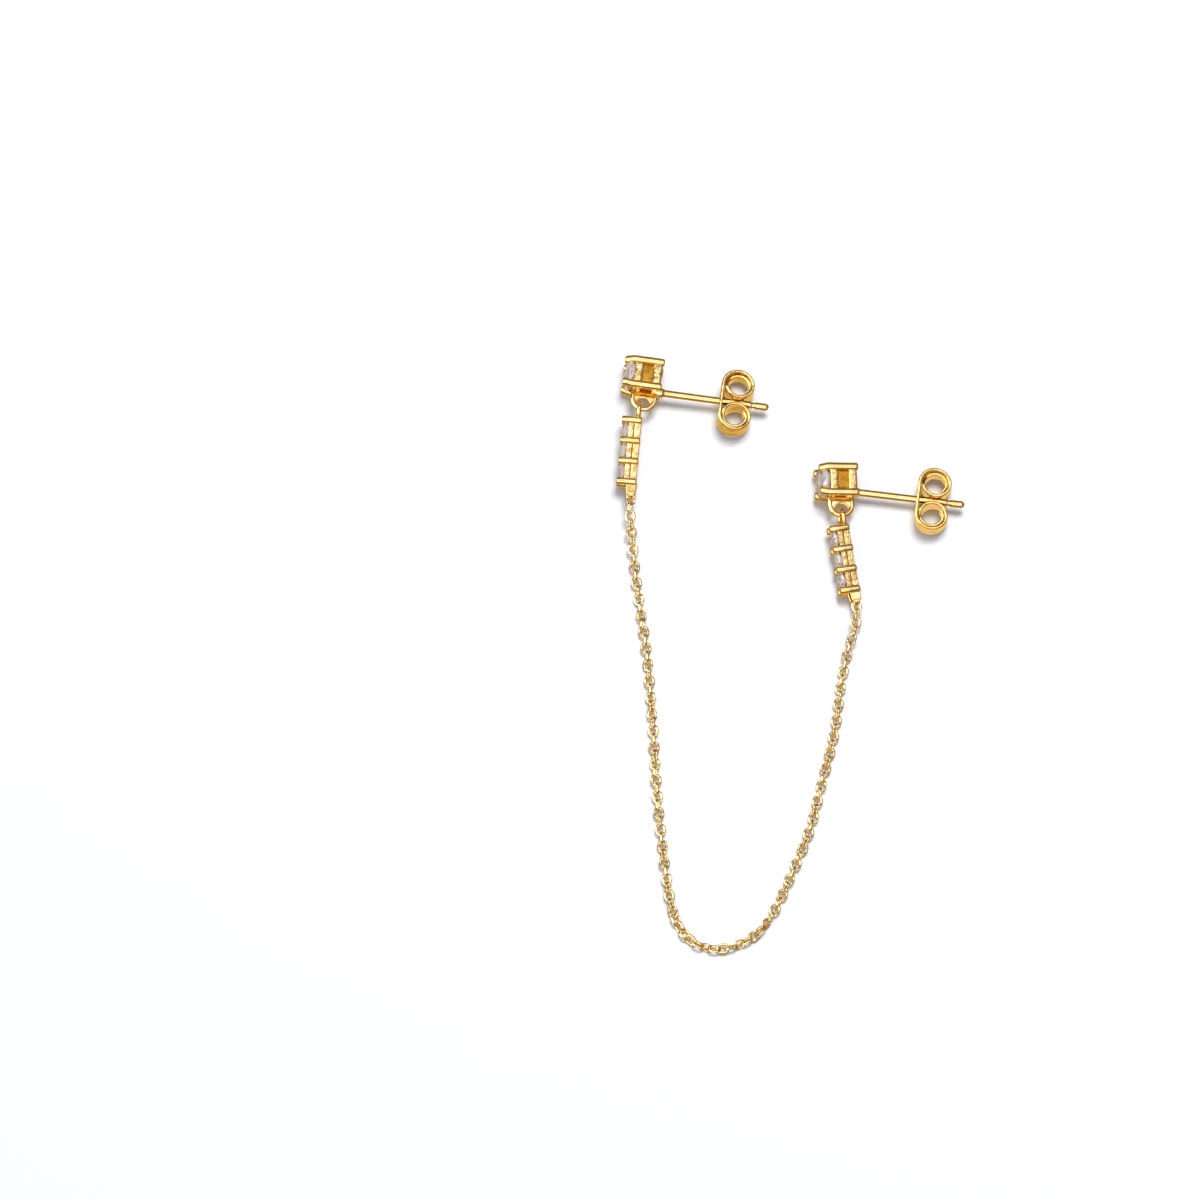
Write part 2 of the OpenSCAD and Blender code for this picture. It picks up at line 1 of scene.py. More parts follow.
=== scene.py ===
import json
import bpy
import bmesh
import numpy as np
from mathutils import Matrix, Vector


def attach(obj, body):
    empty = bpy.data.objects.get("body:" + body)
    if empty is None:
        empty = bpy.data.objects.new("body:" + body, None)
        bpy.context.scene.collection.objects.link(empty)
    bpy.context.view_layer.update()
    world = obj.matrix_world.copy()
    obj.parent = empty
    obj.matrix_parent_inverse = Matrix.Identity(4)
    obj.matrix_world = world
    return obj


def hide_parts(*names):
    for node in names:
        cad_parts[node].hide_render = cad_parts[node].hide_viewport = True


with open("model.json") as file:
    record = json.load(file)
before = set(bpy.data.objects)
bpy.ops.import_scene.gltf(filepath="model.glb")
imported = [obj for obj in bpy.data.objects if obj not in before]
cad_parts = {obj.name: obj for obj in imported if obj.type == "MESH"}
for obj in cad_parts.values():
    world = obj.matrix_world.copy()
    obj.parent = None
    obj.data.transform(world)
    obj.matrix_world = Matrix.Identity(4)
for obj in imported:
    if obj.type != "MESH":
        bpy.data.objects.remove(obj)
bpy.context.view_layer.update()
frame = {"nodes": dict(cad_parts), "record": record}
print("frame loaded:", len(frame["nodes"]), "nodes")

mm = 0.001  # every size below is in millimetres, every object in metres
bodyName = "ear_chain"  # all but the two ear nuts ride on it
sides = ("left", "right")
sharpAt = 40  # an edge between faces that turn by more degrees than this stays sharp


# Shapes, all worked out as arrays


# The turn matrix of angles in degrees about X, then Y, then Z
def turnBy(angles):
    x, y, z = np.radians(angles)
    aboutX = np.array([[1, 0, 0], [0, np.cos(x), -np.sin(x)], [0, np.sin(x), np.cos(x)]])
    aboutY = np.array([[np.cos(y), 0, np.sin(y)], [0, 1, 0], [-np.sin(y), 0, np.cos(y)]])
    aboutZ = np.array([[np.cos(z), -np.sin(z), 0], [np.sin(z), np.cos(z), 0], [0, 0, 1]])
    return aboutZ @ aboutY @ aboutX


# Quads between rings of points: each joins point j and point j + 1 of ring i to those of ring i + 1
def ringQuads(count, around, loop=False):
    i = np.arange(count if loop else count - 1)[:, None]
    j = np.arange(around)[None]
    here, after = i * around, (i + 1) % count * around
    beside = (j + 1) % around
    return np.stack([here + j, here + beside, after + beside, after + j], -1).reshape(-1, 4)


# A skin over rings of points: neighbouring rings are joined by quads, and where the run of rings
# doesn't close on itself, a fan to one tip closes each end. A negative volume turns the faces round.
# The metal is the number of the surface's material in its piece.
def skin(rings, tips=None, loop=False, metal=0):
    count, around = rings.shape[:2]
    points = rings.reshape(-1, 3)
    quads = ringQuads(count, around, loop)
    fans = np.zeros((0, 3), int)
    if not loop:
        tips = [rings[0].mean(0), rings[-1].mean(0)] if tips is None else tips
        points = np.concatenate([points, tips])
        k = np.arange(around)
        first = np.stack([np.full(around, count * around), (k + 1) % around, k], -1)
        last = np.stack([np.full(around, count * around + 1), k, (k + 1) % around], -1)
        last[:, 1:] += (count - 1) * around
        fans = np.concatenate([first, last])
    corners = points[np.concatenate([quads[:, :3], quads[:, [0, 2, 3]], fans])]
    volume = np.einsum("ij,ij->i", corners[:, 0], np.cross(corners[:, 1], corners[:, 2])).sum()
    if volume < 0:
        quads, fans = quads[:, ::-1], fans[:, ::-1]
    return {"points": points, "quads": quads, "fans": fans, "metal": metal}


# A surface turned by a matrix, then moved
def placed(surface, turn, place):
    return {**surface, "points": surface["points"] @ turn.T + place}


# The way across a flat path: square to the way ahead and to the plane's normal
def acrossPath(path, normal, loop=False):
    if loop:
        ahead = np.roll(path, -1, 0) - np.roll(path, 1, 0)
    else:
        ahead = np.gradient(path, axis=0)
    across = np.cross(normal, ahead)
    return across / np.linalg.norm(across, axis=1, keepdims=True)


# A profile carried along a flat path: path point + across * first + normal * second coordinate.
# The profile may be one for all points, or one for each.
def carried(path, normal, profile, loop=False):
    profile = np.broadcast_to(profile, (len(path),) + profile.shape[-2:])
    across = acrossPath(path, normal, loop)
    return path[:, None] + across[:, None] * profile[..., :1] + normal * profile[..., 1:]


# A circle of points: radius * (cos, sin)
def circle(radius, count):
    turn = np.arange(count) * 2 * np.pi / count
    return radius * np.stack([np.cos(turn), np.sin(turn)], -1)


# A rectangle with round corners: arcs about the four corner centres, and a point beside each arc,
# hold times the corner's radius along the flat side, that keeps the side's shading flat
def roundedSection(width, height, corner, steps=4, hold=0.25):
    turn = np.linspace(0, np.pi / 2, steps + 1)
    arc = np.stack([np.cos(turn), np.sin(turn)], -1) * corner
    flat = hold * corner
    arc = np.concatenate([[[corner, -flat]], arc, [[-flat, corner]]])
    quarters = []
    for k in range(4):
        sx, sy = (1, -1, -1, 1)[k], (1, 1, -1, -1)[k]
        quarter = arc * (sx, sy)
        quarter = quarter[::-1] if k % 2 else quarter
        quarters.append(quarter + (sx * (width / 2 - corner), sy * (height / 2 - corner)))
    return np.concatenate(quarters)


# Rings about X: (x, radius cos, radius sin) for each (x, radius) pair
def ringsAbout(line, count):
    around = circle(1, count)
    level = np.broadcast_to(line[:, :1], (len(line), count))
    return np.stack([level, line[:, 1:] * around[:, 0], line[:, 1:] * around[:, 1]], -1)


# A rod along X turned from a line of (x, radius) pairs whose two ends are on the axis
def turnedRod(line, count):
    return skin(ringsAbout(line[1:-1], count), tips=[[line[0][0], 0, 0], [line[-1][0], 0, 0]])


# A smooth step from 0 to 1
def softStep(u):
    u = np.clip(u, 0, 1)
    return u * u * (3 - 2 * u)


# Materials


# sRGB hex to linear
def linear(hexColour):
    parts = [int(hexColour[i : i + 2], 16) / 255 for i in (1, 3, 5)]
    return [p / 12.92 if p <= 0.04045 else ((p + 0.055) / 1.055) ** 2.4 for p in parts] + [1]


# Adds a node: its settings by name, its inputs as constants or as (node, output) links. An input
# goes by its name, with _ for a space, or as i and its number.
def add(tree, kind, settings=None, **inputs):
    node = tree.nodes.new(kind)
    for name, value in (settings or {}).items():
        setattr(node, name, value)
    for name, value in inputs.items():
        key = int(name[1:]) if name[0] == "i" and name[1:].isdigit() else name.replace("_", " ")
        if isinstance(value, tuple) and isinstance(value[0], bpy.types.Node):
            tree.links.new(value[0].outputs[value[1]], node.inputs[key])
        else:
            node.inputs[key].default_value = value
    return node


# A material with an empty node tree
def newMaterial(name):
    material = bpy.data.materials.new(name)
    material.use_nodes = True
    material.node_tree.nodes.clear()
    return material, material.node_tree


# Finishes of the gold. Roughness from the cleanest to the dullest spot, width of the grain along X, Y
# and Z, and width and depth of the soft waves under it. Grain is drawn up to three times as coarse
# as real, so that it shows.
goldFinishes = {
    "polished": {
        "colours": ("#F4D89C", "#EFC980"),
        "rough": (0.07, 0.15),
        "grainMm": (0.09, 0.09, 0.09),
        "grainDeepMm": 0.0012,
        "waveMm": 1.1,
        "waveDeepMm": 0.016,
    },
    "cast": {
        "colours": ("#F8DDA6", "#DDB062"),
        "rough": (0.05, 0.2),
        "grainMm": (0.15, 0.5, 0.3),
        "grainDeepMm": 0.06,
        "waveMm": 0.5,
        "waveDeepMm": 0.06,
    },
    # the recess's rougher surface is real, its darker colours are painted shade for the closed side deep
    # between the rails
    "recess": {
        "colours": ("#C08E34", "#96691E"),
        "rough": (0.14, 0.3),
        "grainMm": (0.16, 0.16, 0.16),
        "grainDeepMm": 0.012,
        "waveMm": 0.9,
        "waveDeepMm": 0.02,
    },
    "rolled": {
        "colours": ("#F5D796", "#E4B866"),
        "rough": (0.05, 0.14),
        "grainMm": (1.4, 1.4, 0.35),
        "grainDeepMm": 0.045,
        "waveMm": 0.8,
        "waveDeepMm": 0.045,
    },
    "drawn": {
        "colours": ("#F6DDA6", "#EFCB86"),
        "rough": (0.06, 0.12),
        "grainMm": (0.12, 0.12, 0.12),
        "grainDeepMm": 0.002,
        "waveMm": 0.8,
        "waveDeepMm": 0.01,
    },
}


# 14 carat yellow gold in one of the finishes: buffed to a warm mirror gloss, left finely pitted from
# the mould, unbuffed and rougher in a recess that no wheel reaches, where its darker colour is painted
# shade, rolled to sheet with lines along it, or drawn to bright wire
def makeGold(name, finish):
    material, tree = newMaterial(name)
    look = goldFinishes[finish]
    where = add(tree, "ShaderNodeTexCoord")
    inMm = add(tree, "ShaderNodeMapping", i0=(where, "Object"))
    inMm.inputs["Scale"].default_value = (1 / mm,) * 3
    inGrains = add(tree, "ShaderNodeMapping", i0=(where, "Object"))
    inGrains.inputs["Scale"].default_value = [1 / (g * mm) for g in look["grainMm"]]
    wave = add(tree, "ShaderNodeTexNoise", Vector=(inMm, 0), Scale=1 / look["waveMm"], Detail=1.5)
    fine = add(tree, "ShaderNodeTexNoise", Vector=(inGrains, 0), Scale=1.0, Detail=4.0, Roughness=0.6)
    low, high = look["rough"]
    rough = add(tree, "ShaderNodeMapRange", i0=(fine, 0), i1=0.35, i2=0.7, i3=low, i4=high)
    blend = add(tree, "ShaderNodeMapRange", i0=(wave, 0), i1=0.35, i2=0.65)
    colour = add(tree, "ShaderNodeMix", {"data_type": "RGBA"}, i0=(blend, 0))
    colour.inputs[6].default_value, colour.inputs[7].default_value = map(linear, look["colours"])
    waves = add(tree, "ShaderNodeBump", Height=(wave, 0), Strength=1.0, Distance=look["waveDeepMm"] * mm)
    lines = add(
        tree,
        "ShaderNodeBump",
        Height=(fine, 0),
        Strength=1.0,
        Distance=look["grainDeepMm"] * mm,
        Normal=(waves, 0),
    )
    shader = add(
        tree,
        "ShaderNodeBsdfPrincipled",
        Base_Color=(colour, 2),
        Metallic=1.0,
        Roughness=(rough, 0),
        Normal=(lines, 0),
    )
    add(tree, "ShaderNodeOutputMaterial", Surface=(shader, 0))
    return material


stoneLook = {
    # bright is the painted highlight of the flashes, pink a painted reflection
    "bright": "#FFFFFF",
    "pink": "#E3BFCB",  # painted reflection: the faint pink that the table and the gold throw into the stone
    "paintedFlashMm": (0.14, 0.5, 0.5),  # size of a painted flash along X, Y and Z
    "ior": 2.16,  # cubic zirconia
    "roughness": 0.0,
    "clear": 0.45,  # the rest is base colour, a painted highlight for the many small flashes that blend to white
}


# Cut and polished cubic zirconia: clear, with real flashes from its facets and more painted as cells of
# white highlight and faint pink reflection in its base colour
def makeStone(name):
    material, tree = newMaterial(name)
    look = stoneLook
    where = add(tree, "ShaderNodeTexCoord")
    inPaintedFlashes = add(tree, "ShaderNodeMapping", i0=(where, "Object"))
    inPaintedFlashes.inputs["Scale"].default_value = [1 / (f * mm) for f in look["paintedFlashMm"]]
    # painted highlight: cells mix white flashes and the pink reflection into the base colour
    cells = add(tree, "ShaderNodeTexVoronoi", Vector=(inPaintedFlashes, 0), Scale=1.0)
    split = add(tree, "ShaderNodeSeparateColor", i0=(cells, "Color"))
    share = add(tree, "ShaderNodeMapRange", i0=(split, 0), i1=0.35, i2=0.95)
    colour = add(tree, "ShaderNodeMix", {"data_type": "RGBA"}, i0=(share, 0))
    ends = linear(look["bright"]), linear(look["pink"])
    colour.inputs[6].default_value, colour.inputs[7].default_value = ends
    shader = add(
        tree,
        "ShaderNodeBsdfPrincipled",
        Base_Color=(colour, 2),
        Roughness=look["roughness"],
        IOR=look["ior"],
        Transmission_Weight=look["clear"],
    )
    add(tree, "ShaderNodeOutputMaterial", Surface=(shader, 0))
    return material


# White laminate: smooth and matt, it only takes the shadows
def makeTable(name, colour, roughness):
    material, tree = newMaterial(name)
    shader = add(tree, "ShaderNodeBsdfPrincipled", Base_Color=linear(colour), Roughness=roughness)
    add(tree, "ShaderNodeOutputMaterial", Surface=(shader, 0))
    return material


polishedGold = makeGold("polished14CaratGold", "polished")
castGold = makeGold("cast14CaratGold", "cast")
shadedRecessGold = makeGold("unbuffed14CaratGoldPaintedShade", "recess")
rolledGold = makeGold("rolled14CaratGold", "rolled")
drawnGold = makeGold("drawn14CaratGold", "drawn")
cutStone = makeStone("cutCubicZirconia")
whiteTable = makeTable("mattWhiteTable", "#F2F4F9", 0.9)
print("materials ready")


# Putting pieces together


# Puts an object that shows a mesh, lamp or camera into the scene
def putInScene(name, what):
    thing = bpy.data.objects.new(name, what)
    bpy.context.scene.collection.objects.link(thing)
    return thing


# Makes a piece move with its body and stand for its CAD node, which it hides
def finishPiece(piece, body, replaced):
    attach(piece, body)
    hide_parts(replaced)


# One object from closed surfaces in millimetres, with smooth faces
def makeObject(name, surfaces, materials):
    points, faces, metals, start = [], [], [], 0
    for surface in surfaces:
        points.append(surface["points"])
        both = (surface["quads"] + start).tolist() + (surface["fans"] + start).tolist()
        faces += both
        metals += [surface["metal"]] * len(both)
        start += len(surface["points"])
    mesh = bpy.data.meshes.new(name)
    mesh.from_pydata(np.concatenate(points) * mm, [], faces)
    mesh.polygons.foreach_set("material_index", metals)
    mesh.polygons.foreach_set("use_smooth", [True] * len(faces))
    mesh.set_sharp_from_angle(angle=np.radians(sharpAt))
    for material in materials:
        mesh.materials.append(material)
    return putInScene(name, mesh)


# Where things lie, from the frame's own mounts

postSizes = {
    "d": 0.7,
    "length": 10.5,
    "mountAt": 9.7053,  # distance of the frame's mount from the post's root
    "grooveFromTip": 1.5,
    "grooveR": 0.52,
    "grooveDeep": 0.07,
    "collarD": 1.0,  # the swell of solder at its root
    "collarLength": 0.45,
    "sunk": 0.5,
    "plainFrom": 1.2,  # where its plain length starts, and its distance from the groove's middle
    "grooveRoom": 0.34,
    "turn": {"left": (-5, 2.2, -7.4), "right": (0, 0, -7)},
    "drop": {"left": 1.38, "right": 0.95},
}

settingSizes = {
    "stoneD": 3.1,
    "prongD": 0.76,
    "prongAt": 1.26572,  # distance of each prong from the middle, along Y and along Z
    "lean": 0.15,  # how far each prong's tip leans over the stone, and from where
    "leanFrom": 1.0,
    "length": 3.85,
    "tableInset": 0.15,
    "railWall": 0.38,
    "railSide": 2.81144,
    "railCorner": 0.42,
    "railEdge": 0.18,
    "railBulge": 0.1,
    "sideDepth": 0.26,  # the closed side between the rails, below their flat sides
    "sideWall": 0.16,
    "sideCorner": 0.3,
    "sideEdge": 0.04,
    "frontRail": (-0.886, 0.85),  # where each rail starts along X, and its length
    "backRail": (0.925, 0.88),
    "loopWireD": 0.46,
    "loopWide": 2.15,
    "loopReach": 1.89,
    "loopAt": 2.3,
    "loopOpen": 0.88,
    "archR": 0.66,
    "archSpring": 20,
    "rimD": 0.28,
    "webThick": 0.2,
    "turn": {"left": (-6.5, 2.5, -7.5), "right": (0, 12.5, 2.5)},
}

dropSizes = {
    "stones": 3,
    "stoneD": 1.8,
    "stoneGap": 0.22,
    "prongD": 0.7,
    "lean": 0.12,
    "leanFrom": 0.8,
    "rowWide": 1.36,
    "depth": 1.95,
    "tableInset": 0.12,
    "seatGap": 0.14,
    "railThick": 0.6,
    "frontFiled": 0.12,  # filed off the front rail, so that more of each stone shows
    "railProud": 0.06,
    "railSetback": 0.05,
    "railEnd": 0.245,
    "railEdge": 0.06,
    "holeD": 1.16,
    "ringWireD": 0.44,
    "ringD": 1.96,
    "ringBack": 0.6,
    "sink": 0.12,
    "hangGap": 0.09,
    "eyeSheet": 0.26,
    "eyeEdge": 0.08,
    "eyeHigh": 1.16,
    "eyeLength": 1.35,
    "eyeTopWide": 1.12,
    "eyeLowWide": 0.9,
    "eyeTipWide": 0.42,
    "eyeTipLength": 0.36,
    "eyeNarrow": 0.2,
    "eyeBack": 0.5,
    "hangShift": {"left": -0.3, "right": 0},
    "turn": {"left": (3, 0, -5), "right": (4, 12, 10.5)},
}

nutSizes = {
    "sheet": 0.3,
    "edge": 0.12,
    "plateWide": 2.8,
    "scrollWide": 1.8,
    "innerWide": 1.5,
    "scrollLength": 3.2,
    "scrollHigh": 2.84,
    "scrollGap": 0.44,
    "coilGap": 0.05,
    "holeR": 0.39,
    "windingTurn": 580,
    "innerFrom": (335, 400),  # where the sheet narrows to its inner width
    "unevenMm": 0.03,  # how far its edges wander
    "stand": {"left": 5.7, "right": 5.85},
}

# A brilliant's parts as shares of its width, and of its crown's and pavilion's slopes
stoneShares = {"table": 0.57, "crown": 0.15, "girdle": 0.04, "pavilion": 0.43, "star": 0.54, "lower": 0.77}


# A mount's place in millimetres and its axis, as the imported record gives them
def mountOf(name):
    mount = next(m for m in frame["record"]["mounts"] if m["name"] == name)
    return np.array(mount["pos_m"]) / mm, np.array(mount["axis"])


# Root of a post: back from its mount along the post
def postRoot(side):
    place, axis = mountOf(side + "_post")
    return place - axis * postSizes["mountAt"]


# Middle of a setting: the post's root is at the middle of its back, lower by the post's drop
def settingAt(side):
    turn = turnBy(settingSizes["turn"][side])
    return postRoot(side) - turn @ [settingSizes["length"] / 2, -postSizes["drop"][side], 0]


# Middle of the drop's top row: the hanging loop's lowest wire, less the way up through the ring
def dropAt(side):
    s, d = settingSizes, dropSizes
    shift, bend = d["hangShift"][side], s["loopWide"] / 2
    low = np.array([s["loopAt"] - s["length"] / 2, -s["railSide"] / 2 - s["loopReach"], 0])
    hang = low + [shift, bend - np.sqrt(bend**2 - shift**2), 0]
    ringY = d["railEnd"] - d["sink"] + d["ringD"] / 2
    hangY = ringY + d["ringD"] / 2 - d["ringWireD"] - d["hangGap"] - s["loopWireD"] / 2
    wire = settingAt(side) + turnBy(s["turn"][side]) @ hang
    return wire - turnBy(d["turn"][side]) @ [d["ringBack"], hangY, 0]


# Prongs, rails and wires


# Both ends of a prong are filed flatter than a ball, and its tip swells to a bead. Shares of its radius.
prongEnds = {"filed": 0.8, "square": 0.5, "bead": 0.07, "beadAt": 0.75, "beadWide": 0.7}


# A prong along X from its tip at x = 0: a round rod whose tip leans over the stone. Each end is a
# dome: radius * (filed * (1 - cos^square), sin^square). The bead swells it by 1 + bead * a bell
# curve, and its middle line is moved by lean * (1 - softStep).
def prong(length, width, lean, leanFrom, count=24):
    radius, ends = width / 2, prongEnds
    dome = np.linspace(0, np.pi / 2, 9)
    cosine, sine = np.clip(np.cos(dome), 0, 1) ** ends["square"], np.sin(dome) ** ends["square"]
    front = radius * np.stack([ends["filed"] * (1 - cosine), sine], -1)
    back = np.stack([length - front[::-1, 0], front[::-1, 1]], -1)
    middle = np.linspace(radius, length - radius, 14)[1:-1]
    line = np.concatenate([front, np.stack([middle, np.full(12, radius)], -1), back])
    fromBead = (line[:, 0] / radius - ends["beadAt"]) / ends["beadWide"]
    line[:, 1] *= 1 + ends["bead"] * np.exp(-(fromBead**2))
    rod = turnedRod(line, count)
    away = 1 - softStep(rod["points"][:, :1] / leanFrom)
    rod["points"] = rod["points"] + away * np.array(lean)
    return rod


# A square rail round the setting: a soft-cornered section carried round a square with round corners,
# its outside a little domed: out by bulge * (1 - (2 z / length)^2)
def squareRail(start, length, side, wall, corner, edge, bulge, metal):
    half = side / 2 - wall / 2
    square = roundedSection(2 * half, 2 * half, corner, steps=6, hold=0.5)
    path = np.stack([np.full(len(square), start + length / 2), square[:, 0], square[:, 1]], -1)
    section = roundedSection(wall, length, edge)
    outside = section[:, 0] < 0
    section[outside, 0] -= bulge * (1 - (2 * section[outside, 1] / length) ** 2) - bulge / 2
    return skin(carried(path, np.array([1.0, 0, 0]), section, loop=True), loop=True, metal=metal)


# The hanging loop's arch, a wire bent round an arc, and the web above it, a plate whose lower edge
# follows the arc: y = arch middle + sqrt(r^2 - x^2), level past the arc's ends
def archedWeb(count=16):
    s = settingSizes
    bend, low = s["loopWide"] / 2, -s["railSide"] / 2 - s["loopReach"]
    archY = low + s["loopWireD"] / 2 + s["loopOpen"] - s["archR"]
    middle = np.array([s["loopAt"] - s["length"] / 2, archY, 0])
    rimR = s["archR"] + s["rimD"] / 2
    spring = np.radians(s["archSpring"])
    turn = np.linspace(spring, np.pi - spring, 25)
    arc = np.stack([rimR * np.cos(turn), rimR * np.sin(turn), 0 * turn], -1) + middle
    rim = skin(carried(arc, np.array([0.0, 0, 1]), circle(s["rimD"] / 2, count)))
    x = np.linspace(-bend, bend, 41)
    edge = np.sqrt(np.maximum(rimR**2 - x**2, (rimR * np.sin(spring)) ** 2)) + middle[1]
    top, half = -s["railSide"] / 2 + dropSizes["sink"], s["webThick"] / 2
    flat = np.ones_like(x)
    rings = np.stack(
        [
            np.stack([x + middle[0], y, z * flat], -1)
            for y, z in ((edge, -half), (top * flat, -half), (top * flat, half), (edge, half))
        ],
        1,
    )
    return [rim, skin(rings)]


# The hanging loop: a round wire carried down one leg, round half a circle and up the other
def hangingLoop(count=20):
    s = settingSizes
    bend = s["loopWide"] / 2
    middle = np.array([s["loopAt"] - s["length"] / 2, -s["railSide"] / 2 - s["loopReach"] + bend, 0])
    top = -s["railSide"] / 2 + dropSizes["sink"] - middle[1]
    turn = np.linspace(np.pi, 2 * np.pi, 25)
    bow = np.stack([bend * np.cos(turn), bend * np.sin(turn), 0 * turn], -1)
    legs = np.linspace(top, 0, 8)[:-1]
    leg = np.stack([np.full(len(legs), -bend), legs, 0 * legs], -1)
    path = np.concatenate([leg, bow, (leg * (-1, 1, 1))[::-1]]) + middle
    wire = circle(s["loopWireD"] / 2, count)
    return skin(carried(path, np.array([0.0, 0, 1]), wire))


# The post from its root: a line of radii with a solder swell, the friction groove and a domed tip.
# The groove is an arc: radius + its own radius - depth - sqrt(own radius^2 - x^2).
def post(count=32):
    p = postSizes
    radius, length = p["d"] / 2, p["length"]
    swell = np.linspace(-p["sunk"], p["collarLength"] * 1.6, 14)
    swellR = radius + (p["collarD"] / 2 - radius) * (1 - softStep(np.abs(swell) / p["collarLength"]))
    grooveAt = length - p["grooveFromTip"]
    reach = np.sqrt(p["grooveR"] ** 2 - (p["grooveR"] - p["grooveDeep"]) ** 2)
    dip = np.linspace(-reach, reach, 13)
    dipR = radius + p["grooveR"] - p["grooveDeep"] - np.sqrt(p["grooveR"] ** 2 - dip**2)
    plain = np.linspace(p["plainFrom"], grooveAt - p["grooveRoom"], 16)
    end = np.linspace(grooveAt + p["grooveRoom"], length - radius, 4)
    dome = np.linspace(0, np.pi / 2, 10)[1:]
    line = np.concatenate(
        [
            [[-p["sunk"], 0]],
            np.stack([swell, swellR], -1),
            np.stack([plain, np.full(16, radius)], -1),
            np.stack([grooveAt + dip, dipR], -1),
            np.stack([end, np.full(4, radius)], -1),
            np.stack([length - radius + radius * np.sin(dome), radius * np.cos(dome)], -1),
        ]
    )
    line[-1, 1] = 0
    return turnedRod(line, count)


# A stud: four prongs, two rails, the closed side between them, the loop and its web, and the post
def buildStud(side):
    s = settingSizes
    turn, place = turnBy(s["turn"][side]), settingAt(side)
    tip = -s["length"] / 2
    parts = []
    for y in (-1, 1):
        for z in (-1, 1):
            lean = (0, -y * s["lean"], -z * s["lean"])
            arm = prong(s["length"], s["prongD"], lean, s["leanFrom"])
            parts.append(placed(arm, np.eye(3), [tip, y * s["prongAt"], z * s["prongAt"]]))
    rounding = (s["railCorner"], s["railEdge"], s["railBulge"])
    for start, length in (s["frontRail"], s["backRail"]):
        parts.append(squareRail(start, length, s["railSide"], s["railWall"], *rounding, metal=1))
    sink, inset = dropSizes["sink"], s["railSide"] - 2 * s["sideDepth"]
    start = s["frontRail"][0] + s["frontRail"][1] - sink
    length = s["backRail"][0] + sink - start
    # the closed side takes the recess gold, whose darker colour is painted shade
    parts.append(squareRail(start, length, inset, s["sideWall"], s["sideCorner"], s["sideEdge"], 0, metal=2))
    parts.append(hangingLoop())
    parts += archedWeb()
    parts = [placed(part, turn, place) for part in parts]
    parts.append(placed(post(), turnBy(postSizes["turn"][side]), postRoot(side)))
    stud = makeObject(side + "_stud_gold", parts, [polishedGold, castGold, shadedRecessGold])
    finishPiece(stud, bodyName, side + "_stud")


# Stones


# A brilliant cut by planes: a round bar is cut by every facet's plane in turn. Crown mains and
# pavilion mains lie at every 45 degrees, stars halfway between, halves at each side of the mains.
def brilliantMesh(name, diameter, rimSides=64):
    radius, shares = diameter / 2, stoneShares
    tableR = shares["table"] * radius
    crown, girdle, pavilion = (shares[k] * diameter for k in ("crown", "girdle", "pavilion"))
    total = crown + girdle + pavilion
    half = np.radians(22.5)
    starR = tableR + shares["star"] * (radius - tableR)
    starX = crown * (starR * np.cos(half) - tableR) / (radius - tableR)
    mainR = (1 - shares["lower"]) * radius
    mainX = crown + girdle + pavilion * (1 - (1 - shares["lower"]) * np.cos(half))

    def at(x, r, degrees):
        a = np.radians(degrees)
        return np.array([x, r * np.cos(a), r * np.sin(a)])

    planes = []
    for k in range(8):
        a = 45 * k
        tip, low = at(starX, starR, a + 22.5), at(mainX, mainR, a + 22.5)
        planes.append([at(0, tableR, a), tip, at(0, tableR, a + 45)])
        planes.append([at(0, tableR, a), tip, at(crown, radius, a)])
        planes.append([at(total, 0, 0), low, at(crown + girdle, radius, a)])
        for b in (a, a + 45):
            planes.append([tip, at(crown, radius, b), at(crown, radius, a + 22.5)])
            planes.append([low, at(crown + girdle, radius, b), at(crown + girdle, radius, a + 22.5)])
    bar = bmesh.new()
    rim = circle(radius, rimSides)
    ends = [[bar.verts.new((x, y, z)) for y, z in rim] for x in (0, total)]
    bar.faces.new(ends[0][::-1])
    bar.faces.new(ends[1])
    for k in range(rimSides):
        after = (k + 1) % rimSides
        bar.faces.new((ends[0][k], ends[0][after], ends[1][after], ends[1][k]))
    inside = np.array([crown + girdle / 2, 0, 0])
    for a, b, c in planes:
        out = np.cross(b - a, c - a)
        out = out if out @ (inside - a) < 0 else -out
        everything = bar.verts[:] + bar.edges[:] + bar.faces[:]
        cut = bmesh.ops.bisect_plane(
            bar, geom=everything, dist=1e-6, plane_co=a, plane_no=out / np.linalg.norm(out), clear_outer=True
        )
        edges = [e for e in cut["geom_cut"] if isinstance(e, bmesh.types.BMEdge) and e.is_boundary]
        if edges:
            bmesh.ops.holes_fill(bar, edges=edges)
    bmesh.ops.dissolve_limit(bar, angle_limit=np.radians(0.2), verts=bar.verts[:], edges=bar.edges[:])
    bmesh.ops.recalc_face_normals(bar, faces=bar.faces[:])
    mesh = bpy.data.meshes.new(name)
    bar.to_mesh(mesh)
    bar.free()
    return mesh


# A stone with its table's middle at the given place: its mesh's points are turned, then moved
def buildStone(name, diameter, turn, place):
    mesh = brilliantMesh(name, diameter)
    points = np.zeros(len(mesh.vertices) * 3)
    mesh.vertices.foreach_get("co", points)
    points = (points.reshape(-1, 3) @ turn.T + place) * mm
    mesh.vertices.foreach_set("co", points.ravel())
    mesh.materials.append(cutStone)
    finishPiece(putInScene(name + "_cut", mesh), bodyName, name)


# A stud's stone, whose table lies a little behind the tips of the prongs
def buildStudStone(side):
    s = settingSizes
    turn = turnBy(s["turn"][side])
    table = settingAt(side) + turn @ [s["tableInset"] - s["length"] / 2, 0, 0]
    buildStone(side + "_stone", s["stoneD"], turn, table)


# Drops


